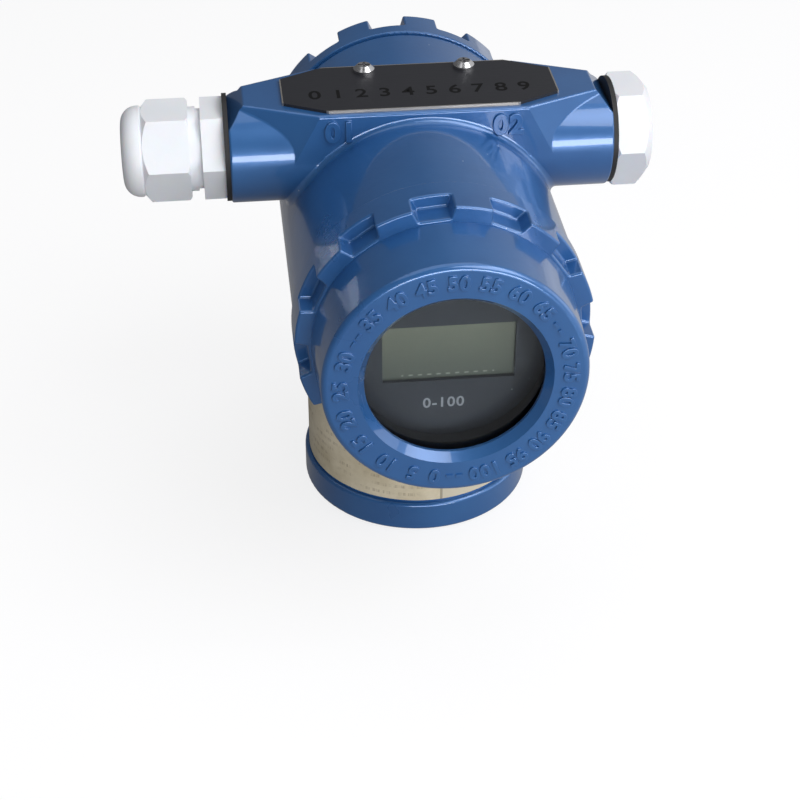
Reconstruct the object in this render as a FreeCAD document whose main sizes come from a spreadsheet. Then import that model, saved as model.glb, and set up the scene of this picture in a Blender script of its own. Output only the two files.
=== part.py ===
import FreeCAD, Part
import math
import os
import Sketcher

# A two-compartment pressure transmitter with a local display.
# Frame: +Z up, the display looks along -Y, the cable gland is at -X and the blanking plug at +X.
# The origin is the mouth of the process port, in the middle of the flat base.

doc = FreeCAD.newDocument("PressureTransmitter")
sheet = doc.addObject("Spreadsheet::Sheet", "Sizes")

# Driving dimensions in millimetres and degrees; counts are plain numbers.
DIMENSIONS = {
    # housing casting
    "axis_height": 85.5,           # barrel axis above the base
    "barrel_radius": 38.0,
    "front_joint": 48.9,           # neck axis to the front cover's joint
    "rear_joint": 42.0,            # neck axis to the rear cover's joint
    "barrel_wall": 5.0,            # wall round the threaded mouth of each compartment
    "thread_depth": 12.5,
    "thread_relief": 1.5,          # thread bore to the compartment behind it
    "wall_front": 15.5,            # front face of the dividing wall, ahead of the neck axis
    "wall_thickness": 5.0,
    "neck_radius": 32.2,
    "neck_wall": 5.2,
    "neck_bore_depth": 40.0,
    "base_ring_proud": 1.5,
    "base_ring_height": 9.3,
    "passage_radius": 3.5,         # wiring passage from the neck to the front compartment
    "passage_offset": 21.5,
    "boss_sink": 12.1,             # crown of the barrel down to the axis of the conduit bosses
    "boss_radius": 15.1,
    "boss_reach": 51.8,            # neck axis to each boss end
    "conduit_radius": 9.2,
    "conduit_inner": 20.0,         # where each conduit opens into the compartment
    "block_inset": 0.05,           # boss radius to the front and back faces of the block
    "pad_round": 0.8,              # cast rounds of the housing
    "seam_round": 1.5,
    "neck_round": 2.5,
    "end_round": 0.6,
    "ring_round": 1.0,
    "pad_setback": 4.3,            # boss end to the end of the pad on top
    "pad_corner": 20.0,            # length that each corner facet cuts off the pad
    "pad_end_half": 6.4,
    "facet_spread": 8.1,           # how far the sloping facets run out down to the boss axis
    "end_drop": 5.0,               # how far the end bevels fall from the pad to the boss ends
    # covers
    "cover_gap": 0.4,
    "thread_clearance": 0.05,
    "spigot_length": 11.0,
    "spigot_wall": 4.4,
    "groove_start": 1.0,
    "groove_width": 2.6,
    "groove_depth": 2.4,
    "ring_section": 0.9,           # section radius of the cover O-rings
    "flange_proud": 0.75,          # barrel to the covers' flanges
    "front_flange": 13.6,
    "rear_flange": 12.0,
    "lug_length": 6.5,
    "lug_depth": 3.55,
    "recess_floor_half": 4.0,
    "recess_mouth_half": 6.0,
    "lug_round": 0.6,
    "rim_round": 0.5,
    "lug_count": 12,
    "front_lug_turn": 5.5,
    "rear_lug_turn": -5.0,
    "root_step": 0.7,              # floor of the lugs to the cover in front of them
    "snout_taper": 1.0,
    "face_round": 1.6,
    "lip_width": 1.8,
    "lip_depth": 2.4,
    "window_radius": 22.7,
    "ledge_thickness": 0.9,
    "glass_gap": 0.4,
    "glass_thickness": 8.0,
    "gasket_thickness": 0.8,
    "gasket_width": 3.6,
    "retainer_thickness": 3.6,
    "retainer_width": 3.65,
    "rear_cap_end": 15.5,
    "rear_cap_round": 3.0,
    "rear_cap_wall": 4.5,
    # display and electronics, measured forward from the dividing wall
    "case_gap": 4.0,               # compartment to the electronics case
    "case_wall": 1.8,
    "case_depth": 28.0,
    "main_board_level": 14.0,
    "board_thickness": 1.6,
    "board_gap": 0.4,
    "display_case_depth": 21.0,
    "display_board_level": 15.0,   # above the floor of the display case
    "bezel_thickness": 1.2,
    "display_gap": 0.5,            # bezel to the ring that holds the glass
    "lcd_half_width": 17.0,
    "lcd_half_height": 8.2,
    "lcd_border": 2.4,
    "lcd_set_back": 0.3,
    "standoff_radius": 2.2,
    "board_screw_radius": 19.5,    # circle of the board screws and standoffs
    "board_screw_hole": 1.25,
    "board_screw_length": 6.0,
    "board_screw_head": 2.6,
    "board_screw_head_height": 1.8,
    "chip_side": 12.0,
    "chip_height": 2.2,
    "chip_left": 15.0,             # board centre to the chip's corner
    "chip_low": 2.0,
    "connector_length": 16.0,
    "connector_width": 5.0,
    "connector_height": 7.0,
    "connector_drop": 14.0,        # board centre down to the connector
    "coil_radius": 4.5,
    "coil_height": 6.0,
    "coil_right": 9.0,
    # terminal side
    "terminal_half_width": 22.0,
    "terminal_top": 12.0,          # above the barrel axis
    "terminal_bottom": 17.0,       # below the barrel axis
    "terminal_depth": 20.0,
    "terminal_count": 5,
    "terminal_pitch": 8.2,
    "terminal_ledge": 12.0,        # wall to the ledge that the clamps lie on
    "terminal_step": 11.0,
    "terminal_screw_head": 3.1,
    "terminal_screw_hole": 1.5,
    "terminal_screw_length": 5.0,
    "clamp_thickness_terminal": 1.0,
    "ground_drop": 22.7,           # barrel axis down to the inner ground screw
    "ground_screw_hole": 1.85,
    "ground_screw_length": 3.0,
    "ground_washer_radius": 5.0,
    "ground_washer_thickness": 1.2,
    # sensor module in the neck
    "module_clearance": 0.05,
    "module_length": 30.0,
    "port_radius": 9.3,
    "port_depth": 16.0,
    "cell_radius": 12.0,
    "cell_seat": 20.0,
    "clamp_radius": 17.0,
    "clamp_thickness": 2.5,
    "sensor_board_gap": 3.0,
    "sensor_standoff": 4.2,
    "module_groove": 22.0,
    "module_ring_section": 1.1,
    "label_thickness": 0.25,
    "label_start": 0.8,            # above the base ring
    "label_height": 34.5,
    # nameplate and the two push buttons below it
    "plate_thickness": 0.8,
    "plate_end_margin": 10.3,      # pad to nameplate
    "plate_corner_margin": 2.3,
    "plate_side_margin": 1.45,
    "plate_end_half": 7.4,
    "plate_screw_half": 13.8,
    "plate_screw_back": 10.0,
    "plate_screw_head": 2.9,
    "plate_screw_hole": 1.5,
    "plate_screw_length": 5.5,
    "button_half": 22.4,
    "button_front": 9.2,
    "well_radius": 2.9,
    "well_depth": 6.0,
    "button_clearance": 0.1,
    "button_sink": 0.3,
    "button_cap": 1.5,
    "button_stem": 1.0,
    "button_travel": 1.2,
    "spring_radius": 1.9,
    "spring_wire": 0.3,
    "spring_segment": 0.5,         # turns swept in one piece
    "spring_turns": 4,
    # cable gland and blanking plug, measured outward from the boss end
    "washer_thickness": 1.3,
    "washer_radius": 14.6,
    "shank_length": 10.0,
    "gland_flats": 24.0,
    "gland_flange": 6.0,
    "gland_neck_radius": 10.8,
    "gland_thread": 11.4,
    "gland_body_end": 19.0,
    "gland_bore": 7.0,
    "gland_seat": 8.6,
    "gland_seat_depth": 5.0,
    "nut_start": 10.7,
    "nut_hex_end": 23.2,
    "nut_end": 28.8,
    "nut_dome_radius": 12.3,
    "nut_round": 4.4,
    "nut_hole": 6.8,
    "seal_bore": 5.0,
    "seal_gap": 0.3,
    "claw_radius": 10.2,
    "claw_end": 23.8,
    "claw_slots": 10,
    "plug_flats": 27.0,
    "plug_head": 10.0,
    "plug_bevel": 3.0,
}


class Size:
    """A dimension that knows its spreadsheet expression and its present value."""

    def __init__(self, text, value):
        self.text = text
        self.value = value

    @staticmethod
    def of(thing):
        return thing if isinstance(thing, Size) else Size(repr(float(thing)), float(thing))

    def __add__(self, other):
        other = Size.of(other)
        return Size(f"({self.text} + {other.text})", self.value + other.value)

    def __sub__(self, other):
        other = Size.of(other)
        return Size(f"({self.text} - {other.text})", self.value - other.value)

    def __mul__(self, other):
        other = Size.of(other)
        return Size(f"({self.text} * {other.text})", self.value * other.value)

    def __truediv__(self, other):
        other = Size.of(other)
        return Size(f"({self.text} / {other.text})", self.value / other.value)

    def __neg__(self):
        return Size.of(0) - self


class Sheet:
    """Attribute access to the spreadsheet: size.barrel_radius and so on."""


size = Sheet()
for row, (alias, number) in enumerate(DIMENSIONS.items(), start=1):
    sheet.set(f"A{row}", alias.replace("_", " "))
    sheet.set(f"B{row}", str(number))
    sheet.setAlias(f"B{row}", alias)
    setattr(size, alias, Size(f"Sizes.{alias}", number))
doc.recompute()

# Sizes that follow from others.
size.thread_bore = size.barrel_radius - size.barrel_wall
size.compartment_radius = size.thread_bore - size.thread_relief
size.neck_bore = size.neck_radius - size.neck_wall
size.base_ring_radius = size.neck_radius + size.base_ring_proud
size.boss_height = size.axis_height + size.barrel_radius - size.boss_sink
size.block_half_depth = size.boss_radius - size.block_inset
size.pad_height = size.boss_height + size.boss_radius
size.pad_half_length = size.boss_reach - size.pad_setback
size.pad_front_half = size.pad_half_length - size.pad_corner
size.flange_radius = size.barrel_radius + size.flange_proud
size.lug_floor = size.flange_radius - size.lug_depth
size.snout_root = size.lug_floor - size.root_step
size.snout_radius = size.snout_root - size.snout_taper
size.rear_cap_radius = size.lug_floor - size.root_step
size.spigot_bore = size.thread_bore - size.spigot_wall
bezel_face = size.wall_front + size.case_depth + size.display_case_depth + size.bezel_thickness
glass_stack = size.retainer_thickness + size.glass_thickness + size.gasket_thickness
window_edge = size.ledge_thickness + size.lip_depth
# the front cover's joint to its face
size.snout_end = bezel_face + size.display_gap + glass_stack + window_edge - size.front_joint
size.lip_radius = size.window_radius + size.lip_width
size.glass_radius = size.spigot_bore - size.glass_gap
size.gasket_inner = size.glass_radius - size.gasket_width
size.retainer_inner = size.spigot_bore - size.thread_clearance - size.retainer_width
size.case_radius = size.compartment_radius - size.case_gap
size.sensor_board_radius = size.neck_bore - size.sensor_board_gap
size.plate_half_length = size.pad_half_length - size.plate_end_margin
size.plate_front_half = size.pad_front_half - size.plate_corner_margin
size.plate_half_width = size.block_half_depth - size.plate_side_margin

ZERO = Size.of(0)
TINY = 0.03
AXES = {
    "Z": FreeCAD.Rotation(),
    "-Z": FreeCAD.Rotation(FreeCAD.Vector(1, 0, 0), 180),
    "Y": FreeCAD.Rotation(FreeCAD.Vector(1, 0, 0), -90),
    "-Y": FreeCAD.Rotation(FreeCAD.Vector(1, 0, 0), 90),
    "X": FreeCAD.Rotation(FreeCAD.Vector(0, 1, 0), 90),
    "-X": FreeCAD.Rotation(FreeCAD.Vector(0, 1, 0), -90),
}
ORIGIN = (ZERO, ZERO, ZERO)
sub_parts = []


def keep(thing):
    """Mark an object as a finished sub-part, written out under its Label."""
    sub_parts.append(thing)
    return thing


def place(thing, base=ORIGIN, along="Z", turn=0.0):
    """Stand an object's own Z axis along a direction, with its base point bound to the sheet."""
    spin = FreeCAD.Rotation(FreeCAD.Vector(0, 0, 1), turn)
    point = FreeCAD.Vector(*[Size.of(part).value for part in base])
    thing.Placement = FreeCAD.Placement(point, AXES[along] * spin)
    for letter, part in zip("xyz", base):
        thing.setExpression(f"Placement.Base.{letter}", Size.of(part).text)
    return thing


def bind(thing, **sizes):
    for name, dimension in sizes.items():
        thing.setExpression(name, Size.of(dimension).text)
    return thing


# ---- sketches and PartDesign bodies ---------------------------------------------------------

def outline_sketch(body, role, outline, lift=ZERO):
    """A closed outline of straight edges; every corner is dimensioned from the origin."""
    sketch = body.newObject("Sketcher::SketchObject", body.Name + "_outline")
    plane = [item for item in body.Origin.OriginFeatures if item.Role == role][0]
    sketch.AttachmentSupport = [(plane, "")]
    sketch.MapMode = "FlatFace"
    sketch.setExpression("AttachmentOffset.Base.z", Size.of(lift).text)
    corners = [(Size.of(across), Size.of(up)) for across, up in outline]
    count = len(corners)
    for index in range(count):
        start = corners[index]
        end = corners[(index + 1) % count]
        line = Part.LineSegment(FreeCAD.Vector(start[0].value, start[1].value, 0),
                                FreeCAD.Vector(end[0].value, end[1].value, 0))
        sketch.addGeometry(line, False)
    for index in range(count):
        sketch.addConstraint(Sketcher.Constraint("Coincident", index, 2, (index + 1) % count, 1))
    for index, corner in enumerate(corners):
        for kind, dimension in zip(("DistanceX", "DistanceY"), corner):
            number = sketch.addConstraint(
                Sketcher.Constraint(kind, -1, 1, index, 1, dimension.value))
            sketch.setExpression(f"Constraints[{number}]", dimension.text)
    return sketch


def new_body(label):
    body = doc.addObject("PartDesign::Body", label)
    body.Label = label
    return body


def turned(label, outline, base=ORIGIN, along="Z", turn=0.0):
    """A turned body: the outline's (radius, height) corners revolved about its own Z axis."""
    body = new_body(label)
    sketch = outline_sketch(body, "XZ_Plane", outline)
    revolution = body.newObject("PartDesign::Revolution", label + "_revolution")
    revolution.Profile = sketch
    revolution.ReferenceAxis = (sketch, ["V_Axis"])
    revolution.Angle = 360
    return place(body, base, along, turn)


def plate(label, outline, thickness, base=ORIGIN, along="Z", lift=ZERO):
    """A flat piece: an outline padded upwards from a level above its own XY plane."""
    body = new_body(label)
    sketch = outline_sketch(body, "XY_Plane", outline, lift)
    pad = body.newObject("PartDesign::Pad", label + "_pad")
    pad.Profile = sketch
    bind(pad, Length=thickness)
    return place(body, base, along)


def ring(inner, outer, low, high):
    return [(inner, low), (outer, low), (outer, high), (inner, high)]


def pocket_ring(body, outline, level, depth, count):
    """Pockets cut down from a level and repeated evenly round the body's own Z axis."""
    doc.recompute()
    volume = body.Shape.Volume
    sketch = outline_sketch(body, "XY_Plane", outline, level)
    pocket = body.newObject("PartDesign::Pocket", body.Name + "_pocket")
    pocket.Profile = sketch
    bind(pocket, Length=depth)
    pattern = body.newObject("PartDesign::PolarPattern", body.Name + "_pattern")
    pattern.Originals = [pocket]
    axis = [item for item in body.Origin.OriginFeatures if item.Role == "Z_Axis"][0]
    pattern.Axis = (axis, [""])
    pattern.Angle = 360
    bind(pattern, Occurrences=count)
    body.Tip = pattern
    doc.recompute()
    if body.Shape.Volume >= volume:
        raise RuntimeError(f"{body.Label}: the pockets cut nothing")
    return body


def dress(body, kind, amount, wanted):
    """Round or bevel the edges of a body's tip that a test picks by their shape."""
    doc.recompute()
    tip = body.Tip
    names = [f"Edge{number}" for number, edge in enumerate(tip.Shape.Edges, start=1) if wanted(edge)]
    feature = body.newObject("PartDesign::" + kind, f"{body.Name}_{kind.lower()}")
    if not names:
        raise RuntimeError(f"{body.Label}: no edge to dress")
    feature.Base = (tip, names)
    bind(feature, **{"Radius" if kind == "Fillet" else "Size": amount})
    body.Tip = feature
    return body


def circle_at(radius, height):
    """Picks full circles of one radius at one height of the body's own axis."""
    def wanted(edge):
        span = edge.BoundBox
        level = abs(span.ZMin - height.value) < TINY and abs(span.ZMax - height.value) < TINY
        return level and abs(span.XMax - radius.value) < TINY and span.XMin < 0
    return wanted


# ---- Part primitives and booleans -----------------------------------------------------------

def cylinder(label, radius, length, base=ORIGIN, along="Z"):
    solid = doc.addObject("Part::Cylinder", label)
    return place(bind(solid, Radius=radius, Height=length), base, along)


def box(label, length, width, height, base=ORIGIN, along="Z"):
    solid = doc.addObject("Part::Box", label)
    return place(bind(solid, Length=length, Width=width, Height=height), base, along)


def hexagon(label, flats, length, base, along):
    """A hexagonal bar with two of its corners on the -Y and +Y sides."""
    solid = doc.addObject("Part::Prism", label)
    solid.Polygon = 6
    bind(solid, Circumradius=flats / math.sqrt(3), Height=length)
    return place(solid, base, along, 90.0)


def ring_seal(label, radius, section, base, along):
    solid = doc.addObject("Part::Torus", label)
    return place(bind(solid, Radius1=radius, Radius2=section), base, along)


def fuse(label, pieces):
    joined = doc.addObject("Part::MultiFuse", label)
    joined.Shapes = pieces
    return joined


def common(label, pieces):
    shared = doc.addObject("Part::MultiCommon", label)
    shared.Shapes = pieces
    return shared


def cut(label, whole, tools):
    left = doc.addObject("Part::Cut", label)
    left.Base = whole
    left.Tool = tools[0] if len(tools) == 1 else fuse(label + "_tools", tools)
    return left


def rounded(label, whole, radius, wanted):
    """A copy of a piece with one radius on every edge that a test picks by its place."""
    doc.recompute()
    edges = enumerate(whole.Shape.Edges, start=1)
    fillet = doc.addObject("Part::Fillet", label)
    fillet.Base = whole
    fillet.Edges = [(number, radius.value, radius.value) for number, edge in edges
                    if wanted(edge.BoundBox)]
    return fillet


def group(label, pieces):
    """Identical loose pieces that share one node."""
    bundle = doc.addObject("Part::Compound", label)
    bundle.Links = pieces
    return bundle


def on_circle(radius, count, start=0.0):
    """Points spaced evenly round a circle, as pairs of sizes."""
    for index in range(count):
        angle = math.radians(start + 360.0 * index / count)
        yield radius * math.cos(angle), radius * math.sin(angle)


def cross_screw(label, head, head_height, shank, length, base, along):
    """A pan-head screw with a cross recess; its base point is under the head."""
    shoulder = head_height * 0.45
    blank = turned(label + "_blank", [
        (ZERO, -length), (shank, -length), (shank, ZERO), (head, ZERO),
        (head, shoulder), (head * 0.62, head_height), (ZERO, head_height)], base, along)
    long_half = head * 0.55
    short_half = head * 0.12
    bars = []
    for number, (wide, deep) in enumerate([(long_half, short_half), (short_half, long_half)]):
        corners = [(-wide, -deep), (wide, -deep), (wide, deep), (-wide, deep)]
        bars.append(plate(f"{label}_bar_{number}", corners, head_height, base, along, shoulder))
    return cut(label, blank, bars)


# ---- shared levels --------------------------------------------------------------------------

barrel_axis = (ZERO, ZERO, size.axis_height)
front_seat = (ZERO, -size.front_joint, size.axis_height)
rear_seat = (ZERO, size.rear_joint, size.axis_height)
wall_seat = (ZERO, -size.wall_front, size.axis_height)
wall_rear = size.wall_thickness - size.wall_front
gland_seat_point = (-size.boss_reach, ZERO, size.boss_height)
plug_seat_point = (size.boss_reach, ZERO, size.boss_height)
spigot_radius = size.thread_bore - size.thread_clearance
ground_point = (ZERO, wall_rear, size.axis_height - size.ground_drop)


# ---- housing --------------------------------------------------------------------------------

def conduit_block():
    """The bevelled block across the top, with a round boss at each end."""
    depth = size.block_half_depth
    facet_slope = (depth - size.pad_end_half) / (size.pad_half_length - size.pad_front_half)
    run_out = size.boss_reach + 4.0
    half = depth - facet_slope * (run_out - size.pad_front_half)
    body = new_body("conduit_block")
    sections = []
    for level, spread in ((size.boss_height, size.facet_spread), (size.pad_height, ZERO)):
        front = size.pad_front_half + spread
        end = run_out + spread
        corners = [(front, -depth), (end, -half), (end, half), (front, depth),
                   (-front, depth), (-end, half), (-end, -half), (-front, -depth)]
        sections.append(outline_sketch(body, "XY_Plane", corners, level))
    loft = body.newObject("PartDesign::AdditiveLoft", "conduit_block_loft")
    loft.Profile = sections[0]
    loft.Sections = [sections[1]]
    loft.Ruled = True
    bosses = cylinder("boss_bar", size.boss_radius, size.boss_reach * 2, gland_seat_point, "X")
    together = fuse("block_with_bosses", [body, bosses])
    low = size.boss_height - size.boss_radius - 1.0
    shoulder = size.pad_height - size.end_drop
    margin = size.boss_radius + 1.0
    limits = plate("block_limits", [
        (-size.boss_reach, low), (size.boss_reach, low), (size.boss_reach, shoulder),
        (size.pad_half_length, size.pad_height), (-size.pad_half_length, size.pad_height),
        (-size.boss_reach, shoulder)], margin * 2, (ZERO, margin, ZERO), "-Y")
    return common("conduit_block_trimmed", [together, limits])


def cast_rounds():
    """The rounds of the casting in the order they are made, each with the place of its edges."""
    pad = size.pad_height.value
    depth = size.block_half_depth.value
    boss = size.boss_height.value
    reach = size.boss_reach.value
    axis = size.axis_height.value
    crown = axis + size.barrel_radius.value
    ring_top = size.base_ring_height.value
    ring_radius = size.base_ring_radius.value

    def on_pad(span):
        return span.ZMin > pad - TINY

    def block_to_barrel(span):
        crosses = span.XMin < -depth and span.XMax > depth
        upright = abs(abs(span.YMin) - depth) < 0.1 and span.YLength < 0.1
        return crosses and upright and boss < span.ZMin and span.ZMax < crown + TINY

    def neck_to_barrel(span):
        return span.ZMin > ring_top + TINY and span.ZMax < axis - 1.0 and span.XLength > depth

    def boss_end(span):
        return span.XMax > reach - TINY or span.XMin < -reach + TINY

    def facet_to_boss(span):
        on_one_side = span.XMin * span.XMax > 0
        long_enough = span.XLength > depth / 2 and span.YLength > depth / 3
        return on_one_side and long_enough and boss < span.ZMin and span.ZMax < pad - TINY

    def barrel_end(span):
        flat = span.YLength < TINY and span.ZMax > crown - TINY and span.XMin < 0 < span.XMax
        return flat and span.XMax > size.barrel_radius.value - TINY

    def ring_edge(span):
        return span.ZLength < TINY and span.XMax > ring_radius - TINY and span.ZMax < ring_top + TINY

    return [("cast_pad", size.pad_round, on_pad),
            ("cast_seam", size.seam_round, block_to_barrel),
            ("cast_neck", size.neck_round, neck_to_barrel),
            ("cast_boss_ends", size.end_round, boss_end),
            ("cast_facets", size.pad_round, facet_to_boss),
            ("cast_barrel_ends", size.end_round, barrel_end),
            ("cast_ring", size.ring_round, ring_edge)]


def housing():
    barrel = cylinder("barrel", size.barrel_radius, size.front_joint + size.rear_joint,
                      front_seat, "Y")
    neck = cylinder("neck", size.neck_radius, size.axis_height)
    base_ring = cylinder("base_ring", size.base_ring_radius, size.base_ring_height)
    casting = fuse("casting", [barrel, conduit_block(), neck, base_ring])
    for label, radius, wanted in cast_rounds():
        casting = rounded(label, casting, radius, wanted)

    tools = []
    front_room = size.front_joint - size.wall_front
    rear_room = size.rear_joint - wall_rear
    tools.append(cylinder("front_mouth", size.thread_bore, size.thread_depth, front_seat, "Y"))
    tools.append(cylinder("front_room", size.compartment_radius, front_room, front_seat, "Y"))
    tools.append(cylinder("rear_mouth", size.thread_bore, size.thread_depth, rear_seat, "-Y"))
    tools.append(cylinder("rear_room", size.compartment_radius, rear_room, rear_seat, "-Y"))
    bore_length = size.boss_reach - size.conduit_inner
    tools.append(cylinder("gland_bore", size.conduit_radius, bore_length, gland_seat_point, "X"))
    tools.append(cylinder("plug_bore", size.conduit_radius, bore_length, plug_seat_point, "-X"))
    tools.append(cylinder("neck_bore", size.neck_bore, size.neck_bore_depth))
    passage_base = (ZERO, -size.passage_offset, size.neck_bore_depth - 1)
    passage_top = size.axis_height - size.compartment_radius - size.neck_bore_depth + 4
    tools.append(cylinder("wire_passage", size.passage_radius, passage_top, passage_base))
    for side, name in ((-1, "left"), (1, "right")):
        screw_base = (size.plate_screw_half * side, size.plate_screw_back, size.pad_height)
        tools.append(cylinder(f"plate_hole_{name}", size.plate_screw_hole,
                              size.plate_screw_length + 0.5, screw_base, "-Z"))
        well_base = (size.button_half * side, -size.button_front, size.pad_height)
        tools.append(cylinder(f"button_well_{name}", size.well_radius, size.well_depth,
                              well_base, "-Z"))
    tools.append(cylinder("ground_hole", size.ground_screw_hole, size.ground_screw_length + 0.5,
                          ground_point, "-Y"))
    keep(cut("housing", casting, tools))


# ---- covers ---------------------------------------------------------------------------------

def spigot_corners():
    """The threaded spigot with its O-ring groove, from its mouth out to the flange."""
    inner = size.spigot_bore
    groove_floor = spigot_radius - size.groove_depth
    groove_end = size.groove_start + size.groove_width
    return [(inner, -size.spigot_length), (spigot_radius, -size.spigot_length),
            (spigot_radius, -groove_end), (groove_floor, -groove_end),
            (groove_floor, -size.groove_start), (spigot_radius, -size.groove_start),
            (spigot_radius, size.cover_gap), (size.flange_radius, size.cover_gap)]


def lug_recess():
    rim = size.flange_radius + 1.5
    return [(-size.recess_floor_half, size.lug_floor), (size.recess_floor_half, size.lug_floor),
            (size.recess_mouth_half, rim), (-size.recess_mouth_half, rim)]


def round_lugs(cover, flange):
    """Softens every edge of the lugs, then the rim beside the joint."""
    low = (flange - size.lug_length).value - TINY
    high = flange.value + TINY
    floor = size.lug_floor.value - 0.5

    def on_lug(edge):
        points = [vertex.Point for vertex in edge.Vertexes]
        outside = all(math.hypot(point.x, point.y) > floor for point in points)
        return outside and all(low < point.z < high for point in points)

    dress(cover, "Fillet", size.lug_round, on_lug)
    dress(cover, "Fillet", size.rim_round, circle_at(size.flange_radius, size.cover_gap))
    return cover


def front_cover():
    ledge_back = size.snout_end - size.lip_depth - size.ledge_thickness
    corners = spigot_corners() + [
        (size.flange_radius, size.front_flange), (size.snout_root, size.front_flange),
        (size.snout_radius, size.snout_end), (size.lip_radius, size.snout_end),
        (size.window_radius, size.snout_end - size.lip_depth), (size.window_radius, ledge_back),
        (size.spigot_bore, ledge_back)]
    cover = turned("front_cover", corners, front_seat, "-Y", size.front_lug_turn.value)
    dress(cover, "Fillet", size.face_round, circle_at(size.snout_radius, size.snout_end))
    pocket_ring(cover, lug_recess(), size.front_flange, size.lug_length, size.lug_count)
    keep(round_lugs(cover, size.front_flange))

    gasket_back = ledge_back - size.gasket_thickness
    glass_back = gasket_back - size.glass_thickness
    edge = size.spigot_bore - size.thread_clearance
    keep(turned("window_gasket", ring(size.gasket_inner, size.glass_radius, gasket_back, ledge_back),
                front_seat, "-Y"))
    keep(turned("window_glass", ring(ZERO, size.glass_radius, glass_back, gasket_back),
                front_seat, "-Y"))
    retainer_back = glass_back - size.retainer_thickness
    keep(turned("glass_retaining_ring", ring(size.retainer_inner, edge, retainer_back, glass_back),
                front_seat, "-Y"))


def rear_cover():
    cavity_end = size.rear_cap_end - size.rear_cap_wall
    corners = spigot_corners() + [
        (size.flange_radius, size.rear_flange), (size.rear_cap_radius, size.rear_flange),
        (size.rear_cap_radius, size.rear_cap_end), (ZERO, size.rear_cap_end),
        (ZERO, cavity_end), (size.spigot_bore, cavity_end)]
    cover = turned("rear_cover", corners, rear_seat, "Y", size.rear_lug_turn.value)
    dress(cover, "Fillet", size.rear_cap_round, circle_at(size.rear_cap_radius, size.rear_cap_end))
    pocket_ring(cover, lug_recess(), size.rear_flange, size.lug_length, size.lug_count)
    keep(round_lugs(cover, size.rear_flange))


def cover_seals():
    middle = size.groove_start + size.groove_width / 2
    radius = spigot_radius - size.groove_depth / 2
    front = (ZERO, -size.front_joint + middle, size.axis_height)
    rear = (ZERO, size.rear_joint - middle, size.axis_height)
    keep(ring_seal("front_cover_o_ring", radius, size.ring_section, front, "-Y"))
    keep(ring_seal("rear_cover_o_ring", radius, size.ring_section, rear, "Y"))


# ---- display and electronics ----------------------------------------------------------------

def cup(label, radius, wall, depth, base):
    """A round moulded case, closed at the back and open to the front."""
    inner = radius - wall
    return turned(label, [(ZERO, ZERO), (radius, ZERO), (radius, depth), (inner, depth),
                          (inner, wall), (ZERO, wall)], base, "-Y")


def forward(level, across=ZERO, up=ZERO):
    """A point a given distance in front of the dividing wall."""
    return (Size.of(across), -size.wall_front - level, size.axis_height + up)


def pillars(label, radius, length, level, start, count=3):
    pieces = []
    for number, (across, up) in enumerate(on_circle(size.board_screw_radius, count, start), start=1):
        pieces.append(cylinder(f"{label}_{number}", radius, length, forward(level, across, up), "-Y"))
    return pieces


def electronics():
    wall = size.case_wall
    board_radius = size.case_radius - wall - size.board_gap
    board_top = size.main_board_level + size.board_thickness
    screw_low = board_top - size.board_screw_length - 0.5
    holes = pillars("board_hole", size.board_screw_hole, size.board_screw_length + 1, screw_low, 90)

    case = cup("electronics_cup", size.case_radius, wall, size.case_depth, forward(ZERO))
    posts = pillars("case_post", size.standoff_radius, size.main_board_level - wall, wall, 90)
    keep(cut("electronics_case", fuse("electronics_case_solid", [case] + posts), holes))

    board = cylinder("main_board_disc", board_radius, size.board_thickness,
                     forward(size.main_board_level), "-Y")
    chip = box("main_board_chip", size.chip_side, size.chip_side, size.chip_height,
               forward(board_top, -size.chip_left, size.chip_low), "-Y")
    plug = box("main_board_connector", size.connector_length, size.connector_width,
               size.connector_height,
               forward(board_top, -size.connector_length / 2, -size.connector_drop), "-Y")
    coil = cylinder("main_board_coil", size.coil_radius, size.coil_height,
                    forward(board_top, size.coil_right), "-Y")
    board_holes = pillars("main_board_hole", size.board_screw_hole, size.board_screw_length + 1,
                          screw_low, 90)
    keep(cut("main_board", fuse("main_board_solid", [board, chip, plug, coil]), board_holes))
    shank = size.board_screw_hole - size.thread_clearance
    keep(group("board_screws", [
        cross_screw(f"board_screw_{number}", size.board_screw_head,
                    size.board_screw_head_height, shank, size.board_screw_length,
                    forward(board_top, across, up), "-Y")
        for number, (across, up) in enumerate(on_circle(size.board_screw_radius, 3, 90), start=1)]))

    floor = size.case_depth
    keep(cup("display_case", size.case_radius, wall, size.display_case_depth, forward(floor)))
    keep(group("display_standoffs", pillars(
        "display_standoff", size.standoff_radius, size.display_board_level - wall, floor + wall, 30)))
    display_top = floor + size.display_board_level
    keep(cylinder("display_board", board_radius, size.board_thickness, forward(display_top), "-Y"))

    bezel_back = floor + size.display_case_depth
    lcd_low = display_top + size.board_thickness
    lcd_thick = bezel_back - size.lcd_set_back - lcd_low
    half_width = size.lcd_half_width
    half_height = size.lcd_half_height
    border = size.lcd_border
    keep(box("lcd_panel", (half_width + border) * 2, (half_height + border) * 2, lcd_thick,
             forward(lcd_low, -half_width - border, -half_height - border), "-Y"))
    face = cylinder("bezel_disc", size.case_radius, size.bezel_thickness, forward(bezel_back), "-Y")
    window = box("bezel_window", half_width * 2, half_height * 2, size.bezel_thickness * 3,
                 forward(bezel_back - size.bezel_thickness, -half_width, -half_height), "-Y")
    keep(cut("display_bezel", face, [window]))


# ---- terminal side --------------------------------------------------------------------------

def behind(level, across=ZERO, up=ZERO):
    """A point a given distance behind the dividing wall."""
    return (Size.of(across), wall_rear + level, size.axis_height + up)


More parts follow.
